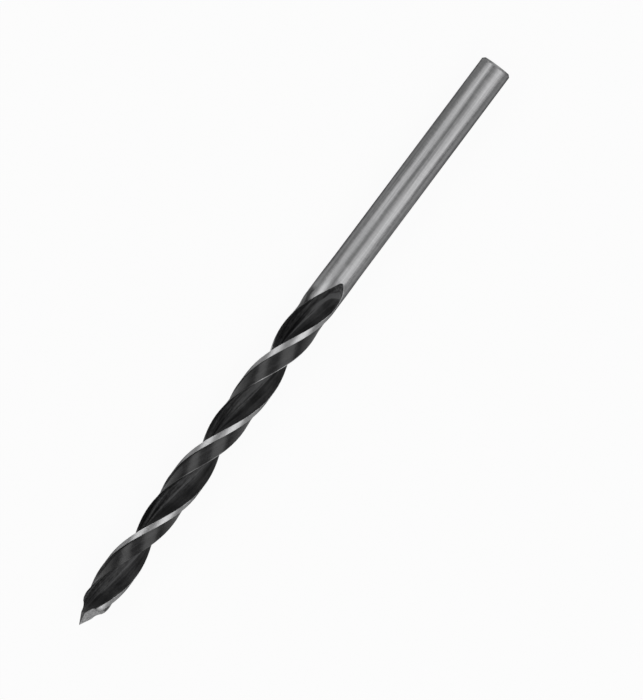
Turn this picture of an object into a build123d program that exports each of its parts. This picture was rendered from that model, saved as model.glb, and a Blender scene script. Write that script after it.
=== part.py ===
from build123d import *
import os
from math import atan, cos, degrees, pi, radians, sin, tan

# Wood drill bit: one piece of steel with a cylindrical shank, two right-hand flutes
# and a brad point. It lies along X with the point at -X, in millimetres.

# Whole bit
overall_length = 61.0
cutting_diameter = 3.0
shank_diameter = 2.95
shank_chamfer = 0.2
neck_length = 2.0

# Helix of the flutes. Rolls are angles about +X, measured from straight up, and
# corner_roll is the cutting corner's in the plane of the tip.
lead = 20.0
corner_roll = -24.5

# Flutes: the form that the wheel grinds, across the helix
flute_length = 37.4
web_thickness = 1.0
rake_radius = 4.1
rake_tilt = 7.2
heel_wall = 0.81
flute_root_radius = 0.3
flute_roll = -62.0

# Clearance behind each margin, shallower towards the shank
clearance_length = 35.2
clearance_depth = 0.36
clearance_rise = 0.007
clearance_floor_radius = 6.0
clearance_width = 1.6
clearance_roll = 48.0
margin_wall = 0.65
margin_wall_lean = 15.0

# Grinding wheel, whose radius shows where the grooves run out
wheel_radius = 2.5
wheel_swing = 75.0

# Brad point, ground along the lips and then gashed beside the spike
lip_roll = 38.5
lip_relief = 17.0
spike_half_angle = 25.0
spur_width = 0.31
spur_reach = 0.5
valley_radius = 0.25
gash_angle = 24.0
gash_roll = 20.0
gash_reach = 0.7

# How far each cutter stands out of the steel and runs on past it, and the stretches
# that the grooves' paths are made of
stand_out = 0.5
overrun = 2.0
flute_stretches = 6
clearance_stretches = 4

cutting_radius = cutting_diameter / 2
tip_x = -overall_length / 2
axis_height = cutting_radius
bit_axis = Axis((0, 0, axis_height), (1, 0, 0))
helix_angle = degrees(atan(pi * cutting_diameter / lead))


def turn(length):
    """Angle that the helix turns in a length of the bit."""
    return 360 * length / lead


def runout(depth):
    """Length of the bit over which the wheel climbs out of a groove of this depth."""
    climb = (2 * wheel_radius * depth - depth**2) ** 0.5
    return climb * cos(radians(helix_angle))


def groove_path(start, stretches, rise=0):
    """Helix from the start to past the tip, in stretches, closing in by the rise."""
    whole = Edge.make_helix(
        pitch=lead,
        height=start - tip_x + overrun,
        radius=cutting_radius,
        center=(start, 0, 0),
        normal=(-1, 0, 0),
        angle=-degrees(atan(rise)),
    )
    return Wire([whole.trim(n / stretches, (n + 1) / stretches) for n in range(stretches)])


def form_plane(path, x):
    """Plane across a groove's path where it starts, straight below the bit's axis."""
    towards_shank = -(path % 0)
    outwards = Vector(0, 0, -1)
    return Plane((x, 0, 0), x_dir=outwards.cross(towards_shank), z_dir=towards_shank)


def wheel_axis(plane, floor):
    """Axis of the wheel that reaches down to this distance from the bit's axis."""
    return Axis(plane.from_local_coords((0, floor + wheel_radius, 0)), -plane.x_dir)


def start_roll(x):
    """Roll of the cutting corner at x, from a path's start straight below the axis."""
    return corner_roll + turn(x - tip_x) - 180


# Flute cutter, made around the X axis
web_radius = web_thickness / 2
form_height = cutting_radius + stand_out
flute_start = tip_x + flute_length - runout(cutting_radius - web_radius)
rake_reach = web_radius + rake_radius
rake_centre = (rake_reach * sin(radians(rake_tilt)), rake_reach * cos(radians(rake_tilt)))
flute_path = groove_path(flute_start, flute_stretches)
flute_plane = form_plane(flute_path, flute_start)
with BuildPart() as flute_cutter:
    with BuildSketch(flute_plane) as flute_form:
        with Locations((heel_wall, 0)):
            Rectangle(cutting_diameter + overrun, form_height, align=(Align.MAX, Align.MIN))
        with Locations(rake_centre):
            Circle(rake_radius, mode=Mode.INTERSECT)
        fillet(flute_form.vertices().sort_by(Axis.Y)[0], radius=flute_root_radius)
    sweep(path=flute_path, is_frenet=True)
    revolve(flute_form.sketch, axis=wheel_axis(flute_plane, web_radius), revolution_arc=wheel_swing)

# Clearance cutter, on a path that closes in on the axis towards the tip
clearance_end_depth = clearance_depth - clearance_rise * clearance_length
clearance_start = tip_x + clearance_length - runout(clearance_end_depth)
clearance_floor = cutting_radius - clearance_end_depth
margin_slope = tan(radians(margin_wall_lean))
clearance_path = groove_path(clearance_start, clearance_stretches, clearance_rise)
clearance_plane = form_plane(clearance_path, clearance_start)
with BuildPart() as clearance_cutter:
    with BuildSketch(clearance_plane) as clearance_form:
        with BuildLine():
            Polyline(
                (margin_wall - cutting_radius * margin_slope, 0),
                (margin_wall + (form_height - cutting_radius) * margin_slope, form_height),
                (-clearance_width, form_height),
                (-clearance_width, 0),
                close=True,
            )
        make_face()
        with Locations((0, clearance_floor - clearance_floor_radius)):
            Circle(clearance_floor_radius, mode=Mode.SUBTRACT)
    sweep(path=clearance_path, is_frenet=True)
    revolve(
        clearance_form.sketch,
        axis=wheel_axis(clearance_plane, clearance_floor),
        revolution_arc=wheel_swing,
    )

# Point cutter, with its lip along Y. It leaves the spike, the hollow lip and the spur,
# and falls away behind the lip by the relief.
valley_reach = cutting_radius - spur_width
valley_height = valley_reach / tan(radians(spike_half_angle))
spur_height = valley_height - spur_reach
with BuildPart() as point_cutter:
    with BuildSketch(Plane((tip_x, 0, 0), x_dir=(0, 1, 0), z_dir=(0, 0, -1))) as point_form:
        with BuildLine():
            Polyline(
                (0, -cutting_diameter),
                (0, 0),
                (valley_reach, valley_height),
                (cutting_radius, spur_height),
                (cutting_diameter, spur_height),
                (cutting_diameter, -cutting_diameter),
                close=True,
            )
        make_face()
        fillet(point_form.vertices().sort_by(Axis.Y)[-1], radius=valley_radius)
    extrude(
        amount=cutting_diameter,
        dir=(sin(radians(lip_relief)), 0, cos(radians(lip_relief))),
        both=True,
    )

# Gash cutter, for the other two faces of the spike
gash_slope = tan(radians(gash_angle))
gash_depth = cutting_radius + stand_out
with BuildPart() as gash_cutter:
    with BuildSketch(Plane((tip_x, -gash_reach, 0), x_dir=(1, 0, 0), z_dir=(0, -1, 0))) as gash_form:
        with BuildLine():
            Polyline(
                (-overrun, overrun * gash_slope),
                (-overrun, -gash_depth),
                (gash_depth / gash_slope, -gash_depth),
                close=True,
            )
        make_face()
    extrude(amount=-(gash_reach + cutting_diameter))

# The bit, on the floor
with BuildPart() as drill_bit:
    with BuildSketch(Plane.XZ) as blank:
        with BuildLine():
            Polyline(
                (tip_x, axis_height),
                (tip_x, axis_height + cutting_radius),
                (tip_x + flute_length, axis_height + cutting_radius),
                (tip_x + flute_length + neck_length, axis_height + shank_diameter / 2),
                (-tip_x, axis_height + shank_diameter / 2),
                (-tip_x, axis_height),
                close=True,
            )
        make_face()
    revolve(axis=bit_axis)
    chamfer(drill_bit.edges().filter_by(GeomType.CIRCLE).sort_by(Axis.X)[-1], length=shank_chamfer)
    with Locations((0, 0, axis_height)):
        for half_turn in (0, 180):
            flute_angle = start_roll(flute_start) + flute_roll + half_turn
            clearance_angle = start_roll(clearance_start) + clearance_roll + half_turn
            add(flute_cutter.part, rotation=(flute_angle, 0, 0), mode=Mode.SUBTRACT)
            add(clearance_cutter.part, rotation=(clearance_angle, 0, 0), mode=Mode.SUBTRACT)
            add(point_cutter.part, rotation=(lip_roll + 90 + half_turn, 0, 0), mode=Mode.SUBTRACT)
            add(gash_cutter.part, rotation=(gash_roll + 90 + half_turn, 0, 0), mode=Mode.SUBTRACT)

drill_bit.part.label = "drill_bit"
os.makedirs("parts", exist_ok=True)
export_step(drill_bit.part, "parts/drill_bit.step")
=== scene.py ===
import math

import bpy
from mathutils import Matrix, Vector


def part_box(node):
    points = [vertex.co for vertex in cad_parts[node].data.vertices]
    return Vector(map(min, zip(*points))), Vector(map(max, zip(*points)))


# Wood drill bit, lying on a pale floor and seen from straight above. The bit is the CAD
# solid itself. Its material sets the ground steel apart from the blackened flutes.

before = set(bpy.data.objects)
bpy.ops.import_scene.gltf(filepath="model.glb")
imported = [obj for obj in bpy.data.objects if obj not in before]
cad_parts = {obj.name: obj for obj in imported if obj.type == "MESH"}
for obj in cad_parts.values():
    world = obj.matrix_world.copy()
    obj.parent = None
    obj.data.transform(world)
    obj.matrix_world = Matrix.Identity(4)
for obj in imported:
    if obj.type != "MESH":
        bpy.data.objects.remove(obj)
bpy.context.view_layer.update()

# Sizes of the bit in metres, as in the CAD
cutting_radius = 0.0015
lead = 0.020
low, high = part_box("drill_bit")
tip_x = low.x
shank_end_x = high.x

# Places along the bit in millimetres from the tip, as in the CAD
spur_tip = 2.05
point_end = 3.0
clearance_end = 35.2
flute_end = 37.4
neck_end = 39.4

# Angles of the point's ground faces, as in the CAD
lip_roll = math.radians(38.5)
lip_relief = math.radians(17.0)
gash_roll = math.radians(20.0)
gash_angle = math.radians(24.0)

# Roll of a heel's edge halfway along the bit, in degrees, and its drift per millimetre
# towards the point, where the clearance is deeper
heel_roll = 246.8
heel_drift = 0.222

# Each finish eases in or out over the surface. A pair says where that starts and where it is
# complete, and a four adds where it is undone. Along counts millimetres from the tip, and
# radii and widths are in millimetres. Across is 1 at the heels' edges and -1 square to them.
# Side is above 0 on the clearances and below 0 in the flutes.

# Margins and shank, ground bright beyond a limit in radius, which is a little ragged
margin_limit = 1.478
shank_limit = 1.440
limit_ease = (-0.004, 0.006)
limit_raggedness = 0.02
limit_along = (flute_end - 0.8, flute_end + 0.2)
# The margins dim towards the spur's tip: a painted shade
spur_shade_along = (spur_tip - 0.1, spur_tip + 0.55)
ground_left_in_spur_shade = 0.1
shank_along = (neck_end, neck_end + 0.2)

# Black land behind the clearances' ends, whose edge slants along the bit
land_side = (-0.02, 0.04)
land_across = (-0.5, -0.3)
land_slant = 2.2
land_raggedness = 30.0
land_slanted_end = (clearance_end - 0.6, clearance_end)
land_straight_end = (clearance_end + 0.3, clearance_end + 1.1)

# Ground faces of the point. Closeness tells how nearly a spot faces as they do.
point_along = (point_end - 0.05, point_end)
lip_closeness = (0.01, 0.02)
gash_closeness = (0.9990, 0.9996)
gash_brightness = 0.35
least_ground = 0.6

# Heels' edges, bright over two stretches and a little elsewhere: partly rubbed wear and
# partly a painted highlight along the ridges
bright_near_shank = (25.2, 27.0, 30.0, 31.8)
bright_halfway = (14.6, 16.6, 18.8, 21.0)
halfway_brightness = 0.34
least_heel_brightness = 0.08
least_heel_patch = 0.6
heel_line_half_width = 0.048
heel_line_ease = 0.016
heel_line_radii = (1.17, 1.23)

# Clearances, the hollows behind the margins
clearance_side = (-0.02, 0.02)
clearance_across = (-0.95, -0.88)
clearance_radii = (1.10, 1.20)

# Flutes, with a painted reflection as a paler streak at the bottom, and a pale band in the
# runout. The band's middle moves across as it goes along, and the painted streak is stronger
# where the grain is.
flute_side = (-0.1, 0.1)
reflection_streak_across = (-0.35, 0.15, 0.30, 0.85)
reflection_streak_contrast = (0.35, 0.6)
reflection_streak_strengths = (0.15, 0.6)
band_along = (flute_end - 4.0, flute_end - 2.2, flute_end - 0.9, flute_end - 0.4)
band_middle_along = (flute_end - 2.6, flute_end - 0.2)
band_middles = (0.45, -0.5)
band_spread = (0.3, 0.65)

# Tone of the black, from 0 for its darkest colour to 1 for its lightest, and what makes it up
tone_shares = {"lines": 0.25, "bands": 0.55, "blotches": 0.2}
tone_contrast = (0.43, 0.62)
# Painted shade across the flutes, darkest beside the margins' leading edges
flute_shade_across = (-0.95, 0.1)
flute_shade_tones = (0.28, 0.88)
clearance_tone = 0.08
clearance_tone_share = 0.2

# Grain of the surfaces, in features per millimetre, the same along each axis or not. What
# follows the helix is drawn out along the bit by the stretch.
margin_speckle = {"scale": 9.0, "detail": 4.0}
point_lines = {"scale": (3.0, 9.0, 9.0), "detail": 4.0, "roughness": 0.6}
heel_patches = {"scale": (0.8, 0.2, 0.2)}
steel_rings = {"scale": (26.0, 1.2, 1.2), "detail": 4.0, "roughness": 0.65}
steel_streaks = {"scale": (0.10, 4.0, 4.0), "roughness": 0.55}
flute_lines = {"scale": 9.0, "detail": 5.0, "roughness": 0.62}
flute_bands = {"scale": 2.6, "detail": 2.0}
oxide_blotches = {"scale": (2.2, 5.0, 5.0), "detail": 4.0, "roughness": 0.65}
oxide_grain = {"scale": 34.0, "detail": 4.0, "roughness": 0.7}
helical_stretch = 0.045

# Values of a grain that count as its least and its most
soft_contrast = (0.3, 0.7)
firm_contrast = (0.35, 0.65)
point_contrast = (0.38, 0.6)

# Colours of the ground steel and of the black oxide, and where the steel's change
steel_dark = (0.267, 0.267, 0.271, 1.0)
steel_light = (0.44, 0.44, 0.444, 1.0)
margin_colour = (0.44, 0.44, 0.444, 1.0)
point_colour = (0.56, 0.56, 0.565, 1.0)
steel_edge_tint = (0.05, 0.05, 0.05, 1.0)
oxide_dark = (0.002, 0.002, 0.0023, 1.0)
oxide_light = (0.070, 0.070, 0.0715, 1.0)
point_colour_along = (spur_tip - 0.15, spur_tip + 0.05)
shank_colour_along = (flute_end - 1.4, flute_end + 0.6)

# Finish of the steel and of the two blacks, and the depth of their relief in metres
steel_ring_share = 0.4
steel_roughness = (0.30, 0.42)
steel_anisotropy = 0.4
steel_ring_height = 0.5
steel_relief = 0.25
steel_depth = 0.000004
oxide_grain_height = 0.5
oxide_depth = 0.00002
flute_black = {"gloss": 0.18, "roughness": (0.38, 0.56), "relief": 0.5}
clearance_black = {"gloss": 0.50, "roughness": (0.22, 0.36), "relief": 0.15}

# Floor, lights and room. Sizes are in metres, and a level is how bright a light's face is.
floor_half = 1.2
floor_colour = (0.5, 0.5, 0.5, 1.0)
floor_glow_seen = 0.945
floor_glow_reflected = 0.10
strip_level = 1.5
strip_distance = 0.35
strip_length = 1.4
panel_level = 0.68
panel_distance = 0.6
panel_size = (0.5, 0.7)
room_low, room_high = 0.10, 0.21
horizon_height = 0.4
white = (1.0, 1.0, 1.0, 1.0)

# Where the photograph has the tip and the shank's end, in pixels of 643 by 700
image_width, image_height = 643, 700
tip_pixel = Vector((79.0, 625.0))
end_pixel = Vector((497.0, 66.0))
camera_lens = 300.0
sensor_width = 36.0
nearest_seen, farthest_seen = 0.01, 10.0


class Nodes:
    """Short calls that build a tree of shader nodes."""

    def __init__(self, owner):
        owner.use_nodes = True
        self.tree = owner.node_tree
        self.tree.nodes.clear()

    def node(self, kind, **settings):
        made = self.tree.nodes.new(kind)
        for name, value in settings.items():
            setattr(made, name, value)
        return made

    def put(self, socket, value):
        if isinstance(value, bpy.types.NodeSocket):
            self.tree.links.new(value, socket)
        else:
            socket.default_value = value

    def combined(self, kind, a, b, **settings):
        """The first output of a node that takes two inputs."""
        made = self.node(kind, **settings)
        self.put(made.inputs[0], a)
        self.put(made.inputs[1], b)
        return made.outputs[0]

    def math(self, operation, a, b=0.0):
        return self.combined("ShaderNodeMath", a, b, operation=operation)

    def plus(self, a, b):
        return self.math("ADD", a, b)

    def minus(self, a, b):
        return self.math("SUBTRACT", a, b)

    def absolute(self, value):
        return self.math("ABSOLUTE", value)

    def times(self, *factors):
        product = factors[0]
        for factor in factors[1:]:
            product = self.math("MULTIPLY", product, factor)
        return product

    def most(self, *values):
        largest = values[0]
        for value in values[1:]:
            largest = self.math("MAXIMUM", largest, value)
        return largest

    def stretch(self, vector, factors):
        return self.combined("ShaderNodeVectorMath", vector, factors, operation="MULTIPLY")

    def split(self, vector):
        made = self.node("ShaderNodeSeparateXYZ")
        self.put(made.inputs[0], vector)
        return made.outputs

    def dot(self, a, b):
        made = self.node("ShaderNodeVectorMath", operation="DOT_PRODUCT")
        self.put(made.inputs[0], a)
        self.put(made.inputs[1], b)
        return made.outputs["Value"]

    def length(self, vector):
        made = self.node("ShaderNodeVectorMath", operation="LENGTH")
        self.put(made.inputs[0], vector)
        return made.outputs["Value"]

    def ramp(self, value, low, high, to_low, to_high):
        """Eases from to_low to to_high while the value goes from low to high."""
        made = self.node("ShaderNodeMapRange", interpolation_type="SMOOTHSTEP")
        self.put(made.inputs["Value"], value)
        self.put(made.inputs["From Min"], low)
        self.put(made.inputs["From Max"], high)
        self.put(made.inputs["To Min"], to_low)
        self.put(made.inputs["To Max"], to_high)
        return made.outputs["Result"]

    def rise(self, value, start, full):
        return self.ramp(value, start, full, 0.0, 1.0)

    def fall(self, value, fade, end):
        return self.ramp(value, fade, end, 1.0, 0.0)

    def between(self, value, start, full, fade, end):
        """Eases from 0 at the start to 1, and from the fade back to 0 at the end."""
        return self.times(self.rise(value, start, full), self.fall(value, fade, end))

    def noise(self, vector, scale, detail=3.0, roughness=0.5):
        """Noise whose scale is one number, or one for each of X, Y and Z."""
        if isinstance(scale, tuple):
            vector = self.stretch(vector, scale)
            scale = 1.0
        made = self.node("ShaderNodeTexNoise", noise_dimensions="3D")
        self.put(made.inputs["Vector"], vector)
        self.put(made.inputs["Scale"], scale)
        self.put(made.inputs["Detail"], detail)
        self.put(made.inputs["Roughness"], roughness)
        return made.outputs["Fac"]

    def mix_colour(self, factor, a, b):
        """A mix of two colours, which the node has at sockets 6 and 7."""
        made = self.node("ShaderNodeMix", data_type="RGBA")
        self.put(made.inputs[0], factor)
        self.put(made.inputs[6], a)
        self.put(made.inputs[7], b)
        return made.outputs[2]

    def mix_value(self, factor, a, b):
        """A mix of two numbers, which the node has at sockets 2 and 3."""
        made = self.node("ShaderNodeMix", data_type="FLOAT")
        self.put(made.inputs[0], factor)
        self.put(made.inputs[2], a)
        self.put(made.inputs[3], b)
        return made.outputs[0]

    def mix_shader(self, factor, a, b):
        made = self.node("ShaderNodeMixShader")
        self.put(made.inputs[0], factor)
        self.put(made.inputs[1], a)
        self.put(made.inputs[2], b)
        return made.outputs[0]

    def bump(self, height, strength, distance):
        made = self.node("ShaderNodeBump")
        self.put(made.inputs["Strength"], strength)
        self.put(made.inputs["Distance"], distance)
        self.put(made.inputs["Height"], height)
        return made.outputs[0]

    def finish(self, surface, kind="ShaderNodeOutputMaterial"):
        out = self.node(kind)
        self.put(out.inputs["Surface"], surface)


def about_x(vector, angle):
    """The vector turned about the bit's axis."""
    return tuple(Matrix.Rotation(angle, 3, "X") @ Vector(vector))


def millimetres(metres):
    return metres * 1000.0


class Place:
    """Where a point of the surface lies: along, across, to which side and how far out."""

    def __init__(self, n):
        spot = n.node("ShaderNodeTexCoord")
        self.normal = spot.outputs["Normal"]
        scaled = n.node("ShaderNodeVectorMath", operation="MULTIPLY_ADD")
        n.put(scaled.inputs[0], spot.outputs["Object"])
        n.put(scaled.inputs[1], (millimetres(1.0), millimetres(1.0), millimetres(1.0)))
        n.put(scaled.inputs[2], (0.0, 0.0, -millimetres(cutting_radius)))
        self.millis = scaled.outputs[0]
        x = n.split(self.millis)[0]
        self.along = n.minus(x, millimetres(tip_x))
        self.radius = n.length(n.stretch(self.millis, (0.0, 1.0, 1.0)))
        self.unwind(n, x)

    def unwind(self, n, x):
        """Coordinates that follow the helix, in which the heels' edges stand upright."""
        heel = n.times(n.math("MINIMUM", x, 0.0), math.radians(heel_drift))
        heel = n.plus(heel, math.radians(heel_roll))
        turn = n.times(x, 2 * math.pi / millimetres(lead))
        spin = n.node("ShaderNodeVectorRotate", rotation_type="AXIS_ANGLE")
        n.put(spin.inputs["Vector"], self.millis)
        n.put(spin.inputs["Axis"], (1.0, 0.0, 0.0))
        n.put(spin.inputs["Angle"], n.times(n.plus(turn, heel), -1.0))
        self.helical = n.stretch(spin.outputs[0], (helical_stretch, 1.0, 1.0))
        unwound = n.split(spin.outputs[0])
        self.beside, upright = unwound[1], unwound[2]

        # Cosine and sine of twice the angle from a heel's edge
        squared = n.times(self.radius, self.radius)
        difference = n.minus(n.times(upright, upright), n.times(self.beside, self.beside))
        self.across = n.math("DIVIDE", difference, squared)
        self.side = n.math("DIVIDE", n.times(upright, self.beside, 2.0), squared)


def black_land(n, at, ragged):
    """The land behind the clearances' ends, black up to a slanted and ragged edge."""
    behind = n.times(n.rise(at.side, *land_side), n.rise(at.across, *land_across))
    ragged_along = n.plus(at.along, n.times(ragged, land_raggedness))
    slant = n.times(n.minus(1.0, at.across), land_slant)
    slanted = n.rise(n.minus(ragged_along, slant), *land_slanted_end)
    straight = n.rise(ragged_along, *land_straight_end)
    return n.times(behind, n.minus(1.0, n.most(slanted, straight)))


def full_radius(n, at):
    """The margins and the shank, which are ground bright with the full radius."""
    speckle = n.minus(n.noise(at.millis, **margin_speckle), 0.5)
    ragged = n.times(speckle, limit_raggedness)
    limit = n.ramp(at.along, *limit_along, margin_limit, shank_limit)
    over = n.minus(at.radius, n.plus(limit, ragged))
    # Painted shade: the margins dim towards the spur's tip
    clear_of_spur_shade = n.ramp(at.along, *spur_shade_along, ground_left_in_spur_shade, 1.0)
    beyond = n.times(n.rise(over, *limit_ease), clear_of_spur_shade)
    outside = n.times(beyond, n.minus(1.0, black_land(n, at, ragged)))
    return n.most(outside, n.rise(at.along, *shank_along))


def point_faces(n, at):
    """The point's ground faces: the lips, and the gash's faces on the spike."""
    lip_fall = (math.sin(lip_relief), 0.0, math.cos(lip_relief))
    gash_normal = (-math.sin(gash_angle), 0.0, -math.cos(gash_angle))
    faces = []
    for half_turn in (0.0, math.pi):
        out_of_lip = n.dot(at.normal, about_x(lip_fall, lip_roll + math.pi / 2 + half_turn))
        faces.append(n.fall(n.absolute(out_of_lip), *lip_closeness))
        towards_gash = n.dot(at.normal, about_x(gash_normal, gash_roll + math.pi / 2 + half_turn))
        faces.append(n.ramp(towards_gash, *gash_closeness, 0.0, gash_brightness))
    lines = n.ramp(n.noise(at.millis, **point_lines), *point_contrast, least_ground, 1.0)
    return n.times(n.most(*faces), lines, n.fall(at.along, *point_along))


def heel_wear_and_highlight(n, at):
    """The heels' edges, bright over two stretches: partly wear, partly a painted highlight."""
    near_shank = n.between(at.along, *bright_near_shank)
    halfway = n.times(n.between(at.along, *bright_halfway), halfway_brightness)
    heel_patchiness = n.ramp(n.noise(at.millis, **heel_patches), *firm_contrast, least_heel_patch, 1.0)
    inwards = n.minus(heel_line_half_width, n.absolute(at.beside))
    edge = n.times(n.rise(inwards, -heel_line_ease, heel_line_ease), n.rise(at.radius, *heel_line_radii))
    return n.times(edge, n.most(near_shank, halfway, least_heel_brightness), heel_patchiness)


def clearances(n, at):
    """The hollows behind the margins, which are smoother than the flutes."""
    behind = n.times(n.rise(at.side, *clearance_side), n.rise(at.across, *clearance_across))
    return n.times(behind, n.rise(at.radius, *clearance_radii))


def steel_colour(n, at, rings):
    """Lightest at the point, and streaked lengthwise on the shank."""
    streaks = n.noise(at.millis, **steel_streaks)
    tone = n.rise(n.mix_value(steel_ring_share, streaks, rings), *firm_contrast)
    on_shank = n.mix_colour(tone, steel_dark, steel_light)
    on_point = n.fall(at.along, *point_colour_along)
    on_flutes = n.mix_colour(on_point, margin_colour, point_colour)
    return n.mix_colour(n.rise(at.along, *shank_colour_along), on_flutes, on_shank)


def steel_shader(n, at):
    """Ground steel, with fine rings around the bit."""
    rings = n.noise(at.millis, **steel_rings)
    tangent = n.node("ShaderNodeTangent", direction_type="RADIAL", axis="X")
    steel = n.node("ShaderNodeBsdfPrincipled")
    n.put(steel.inputs["Base Color"], steel_colour(n, at, rings))
    n.put(steel.inputs["Metallic"], 1.0)
    n.put(steel.inputs["Roughness"], n.ramp(rings, *soft_contrast, *steel_roughness))
    n.put(steel.inputs["Specular Tint"], steel_edge_tint)
    n.put(steel.inputs["Anisotropic"], steel_anisotropy)
    n.put(steel.inputs["Tangent"], tangent.outputs[0])
    height = n.times(rings, steel_ring_height)
    n.put(steel.inputs["Normal"], n.bump(height, steel_relief, steel_depth))
    return steel.outputs[0]


def painted_flute_reflection_and_band(n, at, lines):
    """A painted reflection down each flute's bottom, and a pale band where it runs out."""
    in_flute = n.fall(at.side, *flute_side)
    at_bottom = n.between(at.across, *reflection_streak_across)
    strength = n.ramp(lines, *reflection_streak_contrast, *reflection_streak_strengths)
    # Painted reflection: a paler streak down the bottom of the flute
    reflection_streak = n.times(at_bottom, in_flute, strength)
    band_middle = n.ramp(at.along, *band_middle_along, *band_middles)
    in_band = n.fall(n.absolute(n.minus(at.across, band_middle)), *band_spread)
    near_end = n.between(at.along, *band_along)
    return n.most(reflection_streak, n.times(near_end, in_band, in_flute))


def oxide_tone_and_painted_light(n, at, cleared, lines):
    """How light the black is. Painted shade darkens the flutes beside the margins."""
    bands = n.noise(at.helical, **flute_bands)
    blotches = n.noise(at.millis, **oxide_blotches)
    tone = n.plus(n.times(lines, tone_shares["lines"]), n.times(bands, tone_shares["bands"]))
    tone = n.rise(n.plus(tone, n.times(blotches, tone_shares["blotches"])), *tone_contrast)
    # Painted shade: the flute's tone falls beside the margins
    in_flute = n.times(tone, n.ramp(at.across, *flute_shade_across, *flute_shade_tones))
    on_clearance = n.plus(n.times(tone, clearance_tone_share), clearance_tone)
    return n.plus(n.mix_value(cleared, in_flute, on_clearance), painted_flute_reflection_and_band(n, at, lines))


def black_shader(n, colour, grain, height, gloss, roughness, relief):
    black = n.node("ShaderNodeBsdfPrincipled")
    n.put(black.inputs["Base Color"], colour)
    n.put(black.inputs["Metallic"], 0.0)
    n.put(black.inputs["Specular IOR Level"], gloss)
    n.put(black.inputs["Roughness"], n.ramp(grain, *soft_contrast, *roughness))
    n.put(black.inputs["Normal"], n.bump(height, relief, oxide_depth))
    return black.outputs[0]


def oxide_shader(n, at):
    """Black oxide, dull in the flutes and with a low gloss on the clearances. Its colour
    holds painted shade and a painted reflection in the flutes.
    """
    cleared = clearances(n, at)
    lines = n.noise(at.helical, **flute_lines)
    grain = n.noise(at.millis, **oxide_grain)
    colour = n.mix_colour(oxide_tone_and_painted_light(n, at, cleared, lines), oxide_dark, oxide_light)
    height = n.plus(lines, n.times(grain, oxide_grain_height))
    in_flute = black_shader(n, colour, grain, height, **flute_black)
    on_clearance = black_shader(n, colour, grain, height, **clearance_black)
    return n.mix_shader(cleared, in_flute, on_clearance)


def make_bit_material():
    material = bpy.data.materials.new("blackened_and_ground_steel_with_painted_light")
    n = Nodes(material)
    at = Place(n)
    ground = n.most(full_radius(n, at), point_faces(n, at), heel_wear_and_highlight(n, at))
    n.finish(n.mix_shader(ground, oxide_shader(n, at), steel_shader(n, at)))
    return material


def make_floor_material():
    """Paper that a camera ray sees as mostly glowing, and a reflection as slightly so."""
    material = bpy.data.materials.new("pale_floor")
    n = Nodes(material)
    paper = n.node("ShaderNodeBsdfDiffuse")
    n.put(paper.inputs["Color"], floor_colour)
    glow = n.node("ShaderNodeEmission")
    n.put(glow.inputs["Strength"], 1.0)
    ray = n.node("ShaderNodeLightPath")
    seen = n.times(ray.outputs["Is Camera Ray"], floor_glow_seen)
    reflected = n.most(ray.outputs["Is Glossy Ray"], ray.outputs["Is Transmission Ray"])
    share = n.most(seen, n.times(reflected, floor_glow_reflected))
    n.finish(n.mix_shader(share, paper.outputs[0], glow.outputs[0]))
    return material


def make_floor():
    corners = [(-floor_half, -floor_half), (floor_half, -floor_half)]
    corners += [(floor_half, floor_half), (-floor_half, floor_half)]
    mesh = bpy.data.meshes.new("floor")
    mesh.from_pydata([(x, y, 0.0) for x, y in corners], [], [(0, 1, 2, 3)])
    floor = bpy.data.objects.new("floor", mesh)
    bpy.context.scene.collection.objects.link(floor)
    floor.data.materials.append(make_floor_material())


def soft_light(name, place, turn, size, level):
    """A rectangular light that is equally bright all over, at this level."""
    light = bpy.data.lights.new(name, "AREA")
    light.shape = "RECTANGLE"
    light.size, light.size_y = size
    light.energy = level * light.size * light.size_y * math.pi
    lamp = bpy.data.objects.new(name, light)
    bpy.context.scene.collection.objects.link(lamp)
    lamp.location = place
    lamp.rotation_euler = turn


def strip(name, angle, width_angle):
    """A long light over the bit, at this angle from straight up, both angles in degrees."""
    a = math.radians(angle)
    place = (0.0, -strip_distance * math.sin(a), strip_distance * math.cos(a))
    width = 2 * strip_distance * math.tan(math.radians(width_angle) / 2)
    soft_light(name, place, (a, 0.0, 0.0), (strip_length, width), strip_level)


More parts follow.
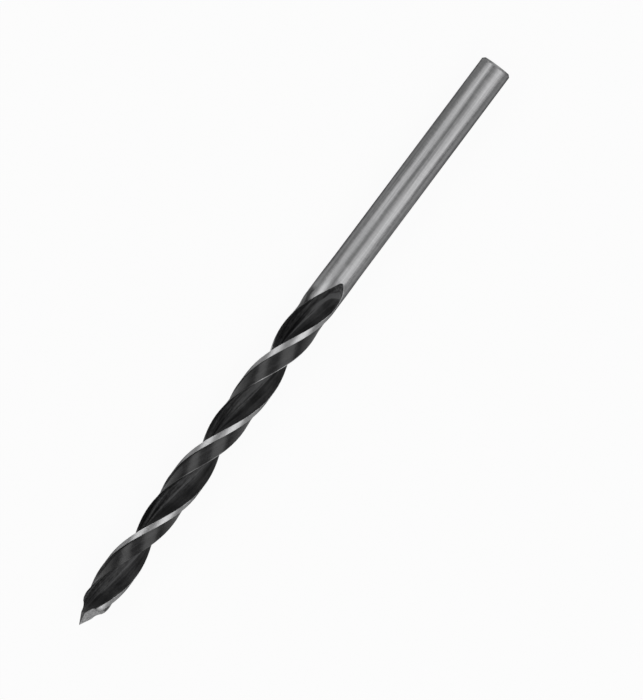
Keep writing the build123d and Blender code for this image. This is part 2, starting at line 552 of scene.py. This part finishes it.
def panel(name, side):
    """An upright light that stands on the floor, beyond the end at +X or -X."""
    place = (side * panel_distance, 0.0, panel_size[0] / 2)
    soft_light(name, place, (0.0, side * math.pi / 2, 0.0), panel_size, panel_level)


def make_room():
    """A grey room, darker towards the horizon."""
    world = bpy.data.worlds.new("room")
    bpy.context.scene.world = world
    n = Nodes(world)
    direction = n.node("ShaderNodeTexCoord")
    height = n.split(direction.outputs["Generated"])[2]
    background = n.node("ShaderNodeBackground")
    n.put(background.inputs["Color"], white)
    n.put(background.inputs["Strength"], n.ramp(height, 0.0, horizon_height, room_low, room_high))
    n.finish(background.outputs[0], "ShaderNodeOutputWorld")


def make_camera():
    """Looks straight down, turned and placed so that the bit falls on its pixels."""
    camera = bpy.data.cameras.new("camera")
    camera.lens = camera_lens
    camera.sensor_width = sensor_width
    camera.sensor_fit = "AUTO"
    camera.clip_start = nearest_seen
    camera.clip_end = farthest_seen
    holder = bpy.data.objects.new("camera", camera)
    bpy.context.scene.collection.objects.link(holder)
    bpy.context.scene.camera = holder

    # The picture's right and up, on the floor
    run = end_pixel - tip_pixel
    forward = Vector((run.x, -run.y)).normalized()
    right = Vector((forward.x, -forward.y, 0.0))
    up = Vector((forward.y, forward.x, 0.0))

    scale = (shank_end_x - tip_x) / run.length
    offset = Vector((image_width / 2, image_height / 2)) - (tip_pixel + end_pixel) / 2
    centre = (low + high) / 2
    target = Vector((centre.x, centre.y, 0.0)) + (right * offset.x - up * offset.y) * scale
    distance = scale * max(image_width, image_height) * camera_lens / sensor_width
    holder.location = target + Vector((0.0, 0.0, cutting_radius + distance))
    back = Vector((0.0, 0.0, 1.0))
    holder.rotation_euler = Matrix((right, up, back)).transposed().to_euler()


bit_material = make_bit_material()
for material_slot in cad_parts["drill_bit"].material_slots:
    material_slot.material = bit_material

make_floor()
strip("left_strip", angle=-45, width_angle=33)
strip("right_strip", angle=41, width_angle=46)
panel("shank_panel", side=1)
panel("point_panel", side=-1)
make_room()
make_camera()

bpy.context.scene.view_settings.view_transform = "Standard"
